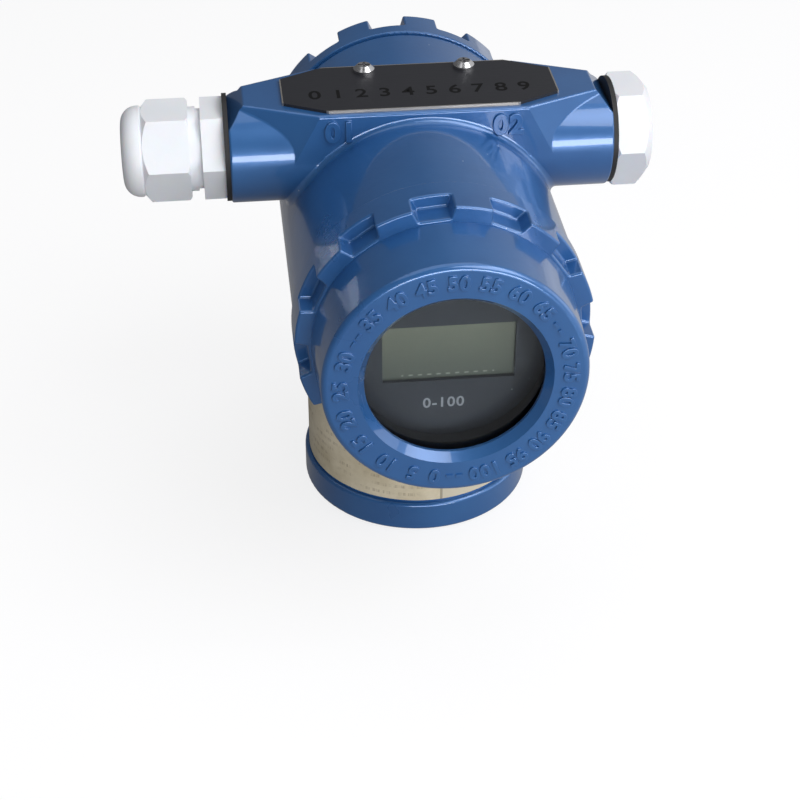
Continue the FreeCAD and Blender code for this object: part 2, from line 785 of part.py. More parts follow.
def terminals():
    half = size.terminal_half_width
    depth = size.terminal_depth
    ledge = size.terminal_ledge
    low = -size.terminal_bottom
    high = size.terminal_top
    step = high - size.terminal_step
    count = int(size.terminal_count.value)
    middle = (step + low) / 2
    clamp = size.clamp_thickness_terminal
    # the section is drawn in the body's own XY plane, whose X axis then points down
    section = [(low, ZERO), (high, ZERO), (high, depth), (step, depth), (step, ledge), (low, ledge)]
    block = plate("terminal_body", [(-up, back) for up, back in section], half * 2,
                  behind(ZERO, -half), "X")
    barriers = []
    for number in range(count + 1):
        thickness = 1.4
        across = size.terminal_pitch * (number - count / 2) - thickness / 2
        barriers.append(box(f"terminal_barrier_{number}", thickness, depth - ledge - 1.0,
                            size.terminal_bottom + step, behind(ledge, across, low)))
    holes = []
    clamps = []
    screws = []
    for number in range(count):
        across = size.terminal_pitch * (number - (count - 1) / 2)
        side = size.terminal_screw_head
        tab = box(f"clamp_tab_{number}", side * 2, clamp, side * 2,
                  behind(ledge, across - side, middle - side))
        hole_length = size.terminal_screw_length + 0.5
        hole_base = behind(ledge + clamp, across, middle)
        clamps.append(cut(f"clamp_{number}", tab, [
            cylinder(f"clamp_hole_{number}", size.terminal_screw_hole, hole_length, hole_base, "-Y")]))
        holes.append(cylinder(f"terminal_hole_{number}", size.terminal_screw_hole, hole_length,
                              hole_base, "-Y"))
        screws.append(cross_screw(f"terminal_screw_{number}", side, Size.of(2.2),
                                  size.terminal_screw_hole - size.thread_clearance,
                                  size.terminal_screw_length, hole_base, "Y"))
    keep(cut("terminal_block", fuse("terminal_block_solid", [block] + barriers), holes))
    keep(group("terminal_clamps", clamps))
    keep(group("terminal_screws", screws))

    washer = size.ground_washer_thickness
    keep(turned("ground_washer", ring(size.ground_screw_hole + 0.1, size.ground_washer_radius,
                                      ZERO, washer), ground_point, "Y"))
    keep(cross_screw("ground_screw", Size.of(3.4), Size.of(2.4),
                     size.ground_screw_hole - size.thread_clearance,
                     size.ground_screw_length + washer,
                     (ground_point[0], ground_point[1] + washer, ground_point[2]), "Y"))


# ---- sensor module --------------------------------------------------------------------------

def sensor_module():
    radius = size.neck_bore - size.module_clearance
    cell_bore = size.cell_radius + size.module_clearance
    groove_floor = radius - size.module_ring_section * 2
    groove_top = size.module_groove + size.module_ring_section * 2.4
    passage = 1.5
    keep(turned("sensor_module", [
        (size.port_radius, ZERO), (radius, ZERO), (radius, size.module_groove),
        (groove_floor, size.module_groove), (groove_floor, groove_top), (radius, groove_top),
        (radius, size.module_length), (cell_bore, size.module_length), (cell_bore, size.cell_seat),
        (passage, size.cell_seat), (passage, size.port_depth), (size.port_radius, size.port_depth)]))
    keep(ring_seal("module_o_ring", radius - size.module_ring_section, size.module_ring_section,
                   (ZERO, ZERO, (size.module_groove + groove_top) / 2), "Z"))
    keep(cylinder("sensor_cell", size.cell_radius, size.module_length - size.cell_seat,
                  (ZERO, ZERO, size.cell_seat)))
    keep(turned("sensor_clamp_ring", ring(size.cell_radius * 0.6, size.clamp_radius,
                                          ZERO, size.clamp_thickness),
                (ZERO, ZERO, size.module_length)))
    standoffs = []
    for number, (across, back) in enumerate(on_circle(size.sensor_board_radius - 3.5, 3, 30), start=1):
        standoffs.append(cylinder(f"sensor_standoff_{number}", 2.0, size.sensor_standoff,
                                  (across, back, size.module_length)))
    keep(group("sensor_standoffs", standoffs))
    keep(cylinder("sensor_board", size.sensor_board_radius, size.board_thickness,
                  (ZERO, ZERO, size.module_length + size.sensor_standoff)))


def neck_label():
    inner = size.neck_radius + 0.02
    low = size.base_ring_height + size.label_start
    keep(turned("neck_label", ring(inner, inner + size.label_thickness, low,
                                   low + size.label_height)))


# ---- nameplate and push buttons -------------------------------------------------------------

def nameplate():
    front = size.plate_front_half
    end = size.plate_half_length
    side = size.plate_half_width
    tip = size.plate_end_half
    base = (ZERO, ZERO, size.pad_height)
    sheet_body = plate("nameplate_sheet", [
        (front, -side), (end, -tip), (end, tip), (front, side),
        (-front, side), (-end, tip), (-end, -tip), (-front, -side)], size.plate_thickness, base)
    holes = []
    screws = []
    shank = size.plate_screw_hole - size.thread_clearance
    for number, hand in enumerate((-1, 1)):
        across = size.plate_screw_half * hand
        holes.append(cylinder(f"nameplate_hole_{number}", size.plate_screw_hole,
                              size.plate_thickness * 2,
                              (across, size.plate_screw_back, size.pad_height - 0.4)))
        screws.append(cross_screw(f"nameplate_screw_{number}", size.plate_screw_head,
                                  size.plate_screw_head * 0.7, shank,
                                  size.plate_screw_length + size.plate_thickness,
                                  (across, size.plate_screw_back,
                                   size.pad_height + size.plate_thickness), "Z"))
    keep(cut("nameplate", sheet_body, holes))
    keep(group("nameplate_screws", screws))


def push_button(name, hand):
    """A sprung plunger in its well under the nameplate."""
    across = size.button_half * hand
    top = size.pad_height - size.button_sink
    floor = size.pad_height - size.well_depth
    cap = size.well_radius - size.button_clearance
    cap_low = top - size.button_cap
    stem_low = floor + size.button_travel + size.button_clearance
    keep(turned(name + "_button", [
        (ZERO, stem_low - floor), (size.button_stem, stem_low - floor),
        (size.button_stem, cap_low - floor), (cap, cap_low - floor), (cap, top - floor),
        (ZERO, top - floor)], (across, -size.button_front, floor)))

    wire = size.spring_wire
    length = cap_low - floor - wire * 2
    helix = doc.addObject("Part::Helix", name + "_coil")
    bind(helix, Radius=size.spring_radius, Height=length, Pitch=length / size.spring_turns,
         SegmentLength=size.spring_segment)
    section = doc.addObject("Part::Circle", name + "_wire")
    bind(section, Radius=wire)
    section.Placement = FreeCAD.Placement(FreeCAD.Vector(size.spring_radius.value, 0, 0),
                                          FreeCAD.Rotation(FreeCAD.Vector(1, 0, 0), 90))
    section.setExpression("Placement.Base.x", size.spring_radius.text)
    sweep = doc.addObject("Part::Sweep", name + "_spring")
    sweep.Sections = [section]
    sweep.Spine = (helix, [])
    sweep.Solid = True
    sweep.Frenet = True
    keep(place(sweep, (across, -size.button_front, floor + wire)))


# ---- cable gland and blanking plug ----------------------------------------------------------

def gland():
    shank = size.conduit_radius - size.thread_clearance
    start = size.washer_thickness
    flange_end = start + size.gland_flange
    end = size.gland_body_end
    seat = end - size.gland_seat_depth
    seat_point = gland_seat_point
    washer = ring(size.conduit_radius + 0.1, size.washer_radius, ZERO, start)
    keep(turned("gland_washer", washer, seat_point, "-X"))

    flange = hexagon("gland_flange", size.gland_flats, size.gland_flange,
                     (seat_point[0] - start, ZERO, size.boss_height), "-X")
    stem = turned("gland_stem", [
        (size.gland_bore, -size.shank_length), (shank, -size.shank_length), (shank, start),
        (size.gland_neck_radius, start), (size.gland_neck_radius, flange_end + 1.4),
        (size.gland_thread, flange_end + 1.4), (size.gland_thread, end), (size.gland_seat, end),
        (size.gland_seat, seat), (size.gland_bore, seat)], seat_point, "-X")
    through = cylinder("gland_through", size.gland_bore, end + size.shank_length,
                       (seat_point[0] + size.shank_length, ZERO, size.boss_height), "-X")
    keep(cut("gland_body", fuse("gland_body_solid", [flange, stem]), [through]))

    seal_low = seat + size.seal_gap
    seal_radius = size.gland_seat - size.seal_gap
    keep(turned("gland_seal", [
        (size.seal_bore, seal_low), (seal_radius, seal_low), (seal_radius, size.claw_end - 1.5),
        (size.nut_hole + 0.2, size.claw_end + 1.7), (size.seal_bore, size.claw_end + 1.7)],
        seat_point, "-X"))
    claw_inner = seal_radius + 0.1
    claw = turned("gland_claw", [
        (claw_inner, end + size.seal_gap), (size.claw_radius, end + size.seal_gap),
        (size.claw_radius, size.claw_end - 1.8), (claw_inner + 0.5, size.claw_end),
        (claw_inner, size.claw_end)], seat_point, "-X")
    slot = 0.5
    keep(pocket_ring(claw, [(-slot, claw_inner - 1), (slot, claw_inner - 1),
                            (slot, size.claw_radius + 1), (-slot, size.claw_radius + 1)],
                     size.claw_end, size.claw_end - end - size.seal_gap - 1.2, size.claw_slots))

    corner = size.gland_flats / math.sqrt(3)
    nut_bore = size.gland_thread + size.thread_clearance
    cone_start = size.claw_end - 1.3
    hex_bar = hexagon("gland_nut_bar", size.gland_flats, size.nut_hex_end - size.nut_start,
                      (seat_point[0] - size.nut_start, ZERO, size.boss_height), "-X")
    hex_turn = turned("gland_nut_bevel", [
        (ZERO, size.nut_start), (corner - 0.8, size.nut_start), (corner, size.nut_start + 0.6),
        (corner, size.nut_hex_end - 1.6), (size.nut_dome_radius - 0.5, size.nut_hex_end),
        (ZERO, size.nut_hex_end)], seat_point, "-X")
    dome_low = size.nut_end - size.nut_round
    dome = turned("gland_nut_dome", [
        (ZERO, size.nut_hex_end), (size.nut_dome_radius - 0.5, size.nut_hex_end),
        (size.nut_dome_radius, size.nut_hex_end + 0.5), (size.nut_dome_radius, size.nut_end),
        (ZERO, size.nut_end)], seat_point, "-X")
    dress(dome, "Fillet", size.nut_round, circle_at(size.nut_dome_radius, size.nut_end))
    hollow = turned("gland_nut_hollow", [
        (ZERO, size.nut_start - 1), (nut_bore, size.nut_start - 1), (nut_bore, cone_start - 0.8),
        (size.claw_radius + 0.6, cone_start), (size.nut_hole + 0.9, dome_low + 2.0),
        (size.nut_hole, dome_low + 2.4), (size.nut_hole, size.nut_end + 1), (ZERO, size.nut_end + 1)],
        seat_point, "-X")
    hex_part = common("gland_nut_hex", [hex_bar, hex_turn])
    keep(cut("gland_nut", fuse("gland_nut_solid", [hex_part, dome]), [hollow]))


def blanking_plug():
    shank = size.conduit_radius - size.thread_clearance
    start = size.washer_thickness
    end = start + size.plug_head
    corner = size.plug_flats / math.sqrt(3)
    washer = ring(size.conduit_radius + 0.1, size.washer_radius, ZERO, start)
    keep(turned("plug_washer", washer, plug_seat_point, "X"))
    head = hexagon("plug_hex", size.plug_flats, size.plug_head,
                   (size.boss_reach + start, ZERO, size.boss_height), "X")
    bevel = turned("plug_bevel_form", [
        (ZERO, start), (corner - 0.9, start), (corner, start + 0.7), (corner, end - size.plug_bevel),
        (corner - size.plug_bevel * 1.25, end), (ZERO, end)], plug_seat_point, "X")
    stem = turned("plug_stem", ring(size.conduit_radius - 3.0, shank, -size.shank_length, start + 0.5),
                  plug_seat_point, "X")
    keep(fuse("blanking_plug", [common("plug_head_form", [head, bevel]), stem]))


# ---- build, check and write -----------------------------------------------------------------

housing()
front_cover()
rear_cover()
cover_seals()
electronics()
terminals()
sensor_module()
neck_label()
nameplate()
push_button("zero", -1)
push_button("span", 1)
gland()
blanking_plug()
doc.recompute()

for item in doc.Objects:
    if "Invalid" in item.State or "Error" in item.State:
        raise RuntimeError(f"{item.Label} did not rebuild: {item.State}")

os.makedirs("parts", exist_ok=True)
for item in sub_parts:
    if item.Shape.isNull() or not item.Shape.isValid():
        raise RuntimeError(f"{item.Label} has no valid shape")
    item.Shape.exportStep(f"parts/{item.Label}.step")
    print(f"{item.Label}: {len(item.Shape.Solids)} solid(s), {item.Shape.Volume:.0f} mm3")
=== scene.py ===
# %% [markdown]
# # A pressure transmitter, dressed for a studio picture
# The frame is the finished mechanical model. Every shape with a real size is already in it, so
# this lesson adds what a finisher adds: enamel, moulded nylon, glass, foil, print and raised
# marks.

# %% Load the frame
import math

import bmesh
import bpy
from mathutils import Matrix, Vector


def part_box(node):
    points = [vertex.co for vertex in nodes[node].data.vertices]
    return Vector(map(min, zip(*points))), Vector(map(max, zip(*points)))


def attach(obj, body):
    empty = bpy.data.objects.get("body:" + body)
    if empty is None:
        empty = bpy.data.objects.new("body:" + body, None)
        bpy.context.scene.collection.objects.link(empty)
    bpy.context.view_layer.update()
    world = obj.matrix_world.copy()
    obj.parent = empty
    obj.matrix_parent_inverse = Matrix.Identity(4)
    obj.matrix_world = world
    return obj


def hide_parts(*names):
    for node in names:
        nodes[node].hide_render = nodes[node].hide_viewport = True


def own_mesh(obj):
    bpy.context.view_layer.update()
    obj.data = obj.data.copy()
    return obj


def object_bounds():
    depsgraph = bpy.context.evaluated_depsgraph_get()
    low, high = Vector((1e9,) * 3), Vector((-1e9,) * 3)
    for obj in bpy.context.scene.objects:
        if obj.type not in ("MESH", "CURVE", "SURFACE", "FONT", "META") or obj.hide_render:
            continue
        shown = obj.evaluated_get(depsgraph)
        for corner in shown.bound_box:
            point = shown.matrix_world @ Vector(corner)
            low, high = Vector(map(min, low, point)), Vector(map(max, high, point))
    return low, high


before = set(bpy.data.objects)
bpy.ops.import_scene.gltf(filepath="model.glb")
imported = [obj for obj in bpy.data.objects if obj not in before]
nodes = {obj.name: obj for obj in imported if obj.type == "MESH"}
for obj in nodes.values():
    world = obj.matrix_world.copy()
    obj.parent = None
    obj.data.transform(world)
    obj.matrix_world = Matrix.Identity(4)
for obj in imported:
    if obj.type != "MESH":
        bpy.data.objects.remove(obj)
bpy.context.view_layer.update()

# %% [markdown]
# ## The places that later cells need
# Each place comes from the box of a piece in the model. The round display looks along -Y, so the
# centre of the front cover gives the height of the barrel's axis.

# %% Measure the pieces
MM = 0.001


def span(node):
    """The lowest and highest corners of a node, as vectors."""
    low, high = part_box(node)
    return Vector(low), Vector(high)


cover_low, cover_high = span("front_cover")
plate_low, plate_high = span("nameplate")
bezel_low, _ = span("display_bezel")
label_low, label_high = span("neck_label")
lcd_low, lcd_high = span("lcd_panel")
axis_height = (cover_low.z + cover_high.z) / 2
cover_face = cover_low.y
pad_top = span("housing")[1].z
print("axis height", round(axis_height / MM, 2), "face", round(cover_face / MM, 2))

# %% [markdown]
# ## Small helpers for materials
# A material is a little graph. `colour` turns an everyday 0 to 255 colour into the linear light
# that shaders work with, and `Graph` adds nodes and wires them in one call.

# %% Colours and graphs


def colour(red, green, blue):
    """An everyday screen colour as linear light."""
    def linear(value):
        value /= 255
        return value / 12.92 if value <= 0.04045 else ((value + 0.055) / 1.055) ** 2.4
    return (linear(red), linear(green), linear(blue), 1.0)


class Graph:
    """Adds nodes to a tree. A value given to an input is a number, a colour or another output."""

    def __init__(self, tree):
        self.tree = tree

    def add(self, kind, inputs=None, out=0, **settings):
        made = self.tree.nodes.new(kind)
        for name, value in settings.items():
            setattr(made, name, value)
        for name, value in (inputs or {}).items():
            self.feed(made, name, value)
        return made.outputs[out]

    def feed(self, made, name, value):
        socket = made.inputs[name]
        if isinstance(value, bpy.types.NodeSocket):
            self.tree.links.new(value, socket)
        else:
            socket.default_value = value

    def math(self, operation, first, second=0.0, clamp=False):
        return self.add("ShaderNodeMath", {0: first, 1: second}, operation=operation,
                        use_clamp=clamp)

    def ramp(self, value, low, high, first=0.0, last=1.0):
        """Maps a value from one range to another and keeps it inside."""
        return self.add("ShaderNodeMapRange", {"Value": value, "From Min": low, "From Max": high,
                                               "To Min": first, "To Max": last})

    def mix(self, factor, first, second, blend="MIX"):
        return self.add("ShaderNodeMix", {0: factor, 6: first, 7: second}, out=2,
                        data_type="RGBA", blend_type=blend)

    def place(self):
        return self.add("ShaderNodeTexCoord", out="Object")

    def axes(self, vector):
        split = self.tree.nodes.new("ShaderNodeSeparateXYZ")
        self.tree.links.new(vector, split.inputs[0])
        return split.outputs[0], split.outputs[1], split.outputs[2]

    def noise(self, vector, scale, detail=2.0, rough=0.5):
        return self.add("ShaderNodeTexNoise", {"Vector": vector, "Scale": scale, "Detail": detail,
                                               "Roughness": rough})


print("mid grey as light:", [round(v, 3) for v in colour(128, 128, 128)])

# %% [markdown]
# ## Shared effects
# Three effects turn up in many finishes, so each is a node group, built once: the fine unevenness
# of a moulded or sprayed skin, thin scuffs from handling, and specks of dust.

# %% Groups


def group(name, inputs, outputs):
    """A shader node group with number inputs and the outputs named."""
    tree = bpy.data.node_groups.new(name, "ShaderNodeTree")
    for label, value in inputs.items():
        socket = tree.interface.new_socket(label, in_out="INPUT", socket_type="NodeSocketFloat")
        socket.default_value = value
    for label in outputs:
        tree.interface.new_socket(label, in_out="OUTPUT", socket_type="NodeSocketFloat")
    return tree, tree.nodes.new("NodeGroupInput"), tree.nodes.new("NodeGroupOutput")


def skin_group():
    """Two sizes of soft unevenness: the flow of the skin and its grain."""
    tree, ins, outs = group("skin", {"Flow Size": 6.0, "Grain Size": 0.6, "Grain Share": 0.3},
                            ["Height", "Cloud"])
    graph = Graph(tree)
    place = graph.place()
    flow = graph.noise(place, graph.math("DIVIDE", 1000.0, ins.outputs["Flow Size"]), 1.0)
    grain = graph.noise(place, graph.math("DIVIDE", 1000.0, ins.outputs["Grain Size"]), 2.0)
    grain_part = graph.math("MULTIPLY", grain, ins.outputs["Grain Share"])
    graph.feed(outs, "Height", graph.math("ADD", flow, grain_part))
    graph.feed(outs, "Cloud", graph.noise(place, 28.0, 4.0, 0.6))
    return tree


STRETCH = 14.0           # how many times longer than wide a scuff is


def scuff_group():
    """Thin stretched marks in two directions, gathered in patches."""
    tree, ins, outs = group("scuffs", {"Amount": 0.5, "Size": 8.0}, ["Mask"])
    graph = Graph(tree)
    place = graph.place()
    scale = graph.math("DIVIDE", 1000.0, ins.outputs["Size"])
    lines = []
    for turn in (0.5, 2.1):
        turned = graph.add("ShaderNodeMapping", {"Vector": place, "Rotation": (turn, 0.6, turn),
                                                 "Scale": (1.0, STRETCH, 1.0)})
        streak = graph.noise(turned, scale, 2.0, 0.6)
        lines.append(graph.ramp(streak, 0.66, 0.74))
    both = graph.math("MAXIMUM", lines[0], lines[1])
    patch = graph.ramp(graph.noise(place, 40.0, 2.0), 0.45, 0.7)
    marks = graph.math("MULTIPLY", both, patch)
    graph.feed(outs, "Mask", graph.math("MULTIPLY", marks, ins.outputs["Amount"], clamp=True))
    return tree


def dust_group():
    """Sparse round specks of a few sizes."""
    tree, ins, outs = group("dust", {"Spacing": 3.0, "Speck": 0.06, "Share": 0.3}, ["Mask"])
    graph = Graph(tree)
    place = graph.place()
    scale = graph.math("DIVIDE", 1000.0, ins.outputs["Spacing"])
    cells = tree.nodes.new("ShaderNodeTexVoronoi")
    graph.feed(cells, "Vector", place)
    graph.feed(cells, "Scale", scale)
    near = graph.math("LESS_THAN", cells.outputs["Distance"], ins.outputs["Speck"])
    pick = graph.add("ShaderNodeSeparateColor", {"Color": cells.outputs["Color"]})
    chosen = graph.math("LESS_THAN", pick, ins.outputs["Share"])
    graph.feed(outs, "Mask", graph.math("MULTIPLY", near, chosen))
    return tree


SKIN, SCUFFS, DUST = skin_group(), scuff_group(), dust_group()
print("groups:", [tree.name for tree in (SKIN, SCUFFS, DUST)])

# %% [markdown]
# ## A material in one call
# `finish` makes a material with one Principled shader. Numbers that are the same all over go
# straight on the shader's own sockets, so that they survive an export.

# %% The material maker


class Finish(Graph):
    """One material: a graph, its shader and short ways to use the shared groups."""

    def __init__(self, name, **constants):
        self.material = bpy.data.materials.new(name)
        self.material.use_nodes = True
        super().__init__(self.material.node_tree)
        self.shader = self.tree.nodes["Principled BSDF"]
        for label, value in constants.items():
            self.shader.inputs[label.replace("_", " ")].default_value = value

    def use(self, tree, out, **inputs):
        made = self.tree.nodes.new("ShaderNodeGroup")
        made.node_tree = tree
        for label, value in inputs.items():
            self.feed(made, label.replace("_", " "), value)
        return made.outputs[out]

    def set(self, label, value):
        self.feed(self.shader, label, value)

    def bump(self, height, depth, strength=1.0):
        """Depth is in millimetres."""
        self.set("Normal", self.add("ShaderNodeBump", {"Height": height, "Strength": strength,
                                                       "Distance": depth * MM}))


def wear(*names, finish):
    """Gives frame nodes a finish."""
    for name in names:
        nodes[name].data.materials.clear()
        nodes[name].data.materials.append(finish.material)
    print(finish.material.name, "->", ", ".join(names))


# %% [markdown]
# ## Blue enamel on the castings
# Sprayed and baked enamel is smooth and wet-looking, but never perfectly flat: it has a faint
# orange peel, and dust that settled while it was wet. Roughness stays low, with a clear coat.

# %% Blue enamel
ENAMEL = colour(48, 101, 160)
ENAMEL_DEEP = colour(41, 90, 148)


def enamel(name):
    """The castings' paint, clouded, speckled, scuffed and slightly peeled."""
    paint = Finish(name, Metallic=0.3, Coat_Weight=0.85, Coat_Roughness=0.04)
    cloud = paint.use(SKIN, "Cloud")
    specks = paint.use(DUST, "Mask", Spacing=7.0, Speck=0.035, Share=0.25)
    base = paint.mix(paint.ramp(cloud, 0.3, 0.7), ENAMEL_DEEP, ENAMEL)
    paint.set("Base Color", paint.mix(paint.math("MULTIPLY", specks, 0.5), base,
                                      colour(190, 205, 220)))
    scuffs = paint.use(SCUFFS, "Mask", Amount=0.5, Size=9.0)
    gloss = paint.ramp(cloud, 0.25, 0.75, 0.25, 0.34)
    paint.set("Roughness", paint.math("ADD", gloss, paint.math("MULTIPLY", scuffs, 0.2)))
    peel = paint.use(SKIN, "Height", Flow_Size=3.2, Grain_Size=0.9, Grain_Share=0.25)
    paint.bump(peel, 0.03)
    return paint


blue = enamel("blue_enamel")
wear("housing", "front_cover", "rear_cover", finish=blue)

# %% [markdown]
# ## Nylon, rubber and dark plastics
# Moulded nylon is off-white with a soft sheen and a little light passing into it. Rubber is dull,
# and filled plastics show a fine eroded grain from the mould.

# %% Moulded pieces


def moulded(name, light, dark, rough, grain, depth, **constants):
    """A moulded skin. Grain and depth are in millimetres, and rough is its lowest roughness."""
    skin = Finish(name, **constants)
    cloud = skin.use(SKIN, "Cloud")
    scuffs = skin.use(SCUFFS, "Mask", Amount=0.4, Size=7.0)
    base = skin.mix(skin.ramp(cloud, 0.3, 0.7), dark, light)
    skin.set("Base Color", skin.mix(skin.math("MULTIPLY", scuffs, 0.25), base, light))
    skin.set("Roughness", skin.ramp(cloud, 0.3, 0.7, rough, rough + 0.1))
    skin.bump(skin.use(SKIN, "Height", Flow_Size=grain * 5, Grain_Size=grain, Grain_Share=0.8),
              depth)
    return skin


nylon = moulded("nylon_white", colour(230, 232, 237), colour(221, 224, 230), 0.38, 0.35, 0.02,
                Subsurface_Weight=0.15, Subsurface_Scale=0.002)
rubber = moulded("black_rubber", colour(32, 32, 34), colour(20, 20, 22), 0.55, 0.3, 0.03)
case_plastic = moulded("dark_plastic", colour(34, 35, 38), colour(26, 27, 30), 0.4, 0.25, 0.003)
terminal_plastic = moulded("terminal_plastic", colour(38, 38, 38), colour(26, 26, 27), 0.45, 0.3,
                           0.02)
wear("gland_body", "gland_nut", "gland_claw", "blanking_plug", finish=nylon)
wear("gland_washer", "plug_washer", "gland_seal", "window_gasket", "front_cover_o_ring",
     "rear_cover_o_ring", "module_o_ring", finish=rubber)
wear("electronics_case", "display_case", "glass_retaining_ring", "zero_button", "span_button",
     finish=case_plastic)
wear("terminal_block", finish=terminal_plastic)

# %% [markdown]
# ## The display's bezel
# The bezel is moulded smooth in a satin grey, a little lighter than the plastics round it. It has
# no grain in relief, because through the glass a fine relief would only flicker.

# %% Display bezel
bezel = Finish("bezel_grey", Specular_IOR_Level=0.4)
bezel_cloud = bezel.use(SKIN, "Cloud")
bezel_base = bezel.mix(bezel.ramp(bezel_cloud, 0.3, 0.7), colour(46, 49, 55), colour(54, 57, 63))
bezel_specks = bezel.use(DUST, "Mask", Spacing=4.0, Speck=0.03, Share=0.3)
bezel.set("Base Color", bezel.mix(bezel_specks, bezel_base, colour(170, 174, 178)))
bezel.set("Roughness", bezel.ramp(bezel_cloud, 0.3, 0.7, 0.42, 0.5))
wear("display_bezel", finish=bezel)

# %% [markdown]
# ## Metals
# Turned metal shows fine lines along the way it was worked. The lines are a noise squeezed many
# times along one axis, and they change both the gloss and the relief. Plated and drawn pieces
# have no such direction here, so their noise is left even.

# %% Metals


def metal(name, light, dark, rough, squeeze, size, depth):
    """Squeeze says how much closer the lines lie along X, Y and Z. Size and depth are in mm."""
    work = Finish(name, Metallic=1.0)
    lined = work.add("ShaderNodeMapping", {"Vector": work.place(), "Scale": squeeze})
    lines = work.noise(lined, 1000.0 / size, 3.0, 0.6)
    cloud = work.use(SKIN, "Cloud")
    work.set("Base Color", work.mix(work.ramp(cloud, 0.3, 0.7), dark, light))
    scuffs = work.use(SCUFFS, "Mask", Amount=0.6, Size=5.0)
    rough_lines = work.ramp(lines, 0.3, 0.7, rough, rough + 0.14)
    work.set("Roughness", work.math("ADD", rough_lines, work.math("MULTIPLY", scuffs, 0.2)))
    work.bump(lines, depth)
    return work


screw_steel = metal("screw_steel", colour(226, 226, 228), colour(200, 200, 204), 0.12,
                    (1, 1, 1), 1.5, 0.01)
stainless = metal("stainless", colour(205, 204, 203), colour(182, 181, 180), 0.24,
                  (1, 1, 12), 0.8, 0.01)
brass = metal("brass", colour(214, 182, 108), colour(190, 156, 86), 0.25, (1, 8, 1), 0.8, 0.01)
spring_steel = metal("spring_steel", colour(190, 190, 194), colour(160, 160, 166), 0.25,
                     (1, 1, 1), 0.5, 0.005)
zinc = metal("zinc_steel", colour(206, 204, 196), colour(180, 178, 170), 0.3, (1, 1, 1), 1.2, 0.01)
wear("nameplate_screws", "board_screws", finish=screw_steel)
wear("sensor_module", "sensor_cell", "sensor_clamp_ring", finish=stainless)
wear("display_standoffs", "sensor_standoffs", finish=brass)
wear("zero_spring", "span_spring", finish=spring_steel)
wear("terminal_clamps", "terminal_screws", "ground_screw", "ground_washer", finish=zinc)

# %% [markdown]
# ## Circuit boards
# A board is green mask over copper. Square cells with a random value look like pads and tracks
# once their edges are picked out.

# %% Circuit board
board = Finish("circuit_board", Coat_Weight=0.3, Coat_Roughness=0.2, Roughness=0.35)
grid = board.tree.nodes.new("ShaderNodeTexVoronoi")
grid.distance = "CHEBYCHEV"
board.feed(grid, "Vector", board.place())
board.feed(grid, "Scale", 450.0)
pads = board.math("LESS_THAN", grid.outputs["Distance"], 0.22)
tracks = board.math("GREATER_THAN", grid.outputs["Distance"], 0.46)
green = board.mix(tracks, colour(14, 74, 42), colour(26, 104, 58))
board.set("Base Color", board.mix(pads, green, colour(190, 186, 170)))
board.bump(pads, 0.05)
wear("main_board", "display_board", "sensor_board", finish=board)

# %% [markdown]
# ## The window glass
# Clear polished glass keeps plain numbers: full transmission and no roughness. A faint cloudy
# haze only changes its tint a little.

# %% Window glass
glass = Finish("window_glass", Transmission_Weight=1.0, Roughness=0.0, IOR=1.34)
haze = glass.use(SKIN, "Cloud")
glass.set("Base Color", glass.mix(haze, colour(206, 212, 216), colour(222, 228, 230)))
wear("window_glass", finish=glass)
nodes["window_glass"].visible_shadow = False      # lets the lamps reach what lies behind it

# %% [markdown]
# ## The display
# Without power a liquid-crystal display is a greenish grey field. Painted shade makes the field
# darker towards its lower edge and lighter at its top, and a row of faint segment marks shows
# there.

# %% Display
lcd = Finish("lcd_olive", Coat_Weight=0.5, Coat_Roughness=0.08)
lcd_x, _, lcd_z = lcd.axes(lcd.place())
# painted shade: the field darkens towards its lower edge and is lighter at its top
rise = lcd.ramp(lcd_z, lcd_low.z, lcd_high.z)
lcd_field_painted_shade = lcd.mix(rise, colour(76, 81, 75), colour(118, 120, 104))
dash = lcd.math("LESS_THAN", lcd.math("PINGPONG", lcd_x, 1.2 * MM), 0.55 * MM)
line_z = lcd_low.z + 3.4 * MM
near_line = lcd.math("LESS_THAN", lcd.math("ABSOLUTE", lcd.math("SUBTRACT", lcd_z, line_z)),
                     0.22 * MM)
inside = lcd.math("LESS_THAN", lcd.math("ABSOLUTE", lcd_x), 12 * MM)
mark = lcd.math("MULTIPLY", lcd.math("MULTIPLY", dash, near_line), inside)
lcd_specks = lcd.use(DUST, "Mask", Spacing=5.0, Speck=0.03, Share=0.35)
shown = lcd.mix(lcd.math("MULTIPLY", mark, 0.6), lcd_field_painted_shade, colour(158, 160, 148))
lcd.set("Base Color", lcd.mix(lcd_specks, shown, colour(225, 226, 222)))
lcd.set("Roughness", lcd.ramp(lcd.use(SKIN, "Cloud"), 0.3, 0.7, 0.3, 0.4))
wear("lcd_panel", finish=lcd)

# %% [markdown]
# ## The nameplate
# A black anodised plate whose cut edge shows bright metal. The edge is found from the plate's own
# box: the larger of the distances to its long and its short sides says how near an edge is. The
# four cut corners keep the black of the face.

# %% Nameplate
plate_mid = (plate_low + plate_high) / 2
plate_half = (plate_high - plate_low) / 2
plate = Finish("plate_black", Specular_IOR_Level=0.35)
px, py, _ = plate.axes(plate.place())
side_x = plate.math("SUBTRACT", plate.math("ABSOLUTE", plate.math("SUBTRACT", px, plate_mid.x)),
                    plate_half.x)
side_y = plate.math("SUBTRACT", plate.math("ABSOLUTE", plate.math("SUBTRACT", py, plate_mid.y)),
                    plate_half.y)
near_edge = plate.math("MAXIMUM", side_x, side_y)
rim = plate.math("GREATER_THAN", near_edge, -0.35 * MM)
brushed = plate.add("ShaderNodeMapping", {"Vector": plate.place(), "Scale": (0.08, 1, 1)})
grain = plate.noise(brushed, 2500.0, 3.0, 0.6)
face = plate.mix(grain, colour(29, 30, 35), colour(39, 40, 46))
plate.set("Base Color", plate.mix(rim, face, colour(176, 172, 166)))
plate.set("Metallic", plate.math("MULTIPLY", rim, 0.9))
plate.set("Roughness", plate.ramp(grain, 0.3, 0.7, 0.34, 0.46))
plate.bump(grain, 0.01)
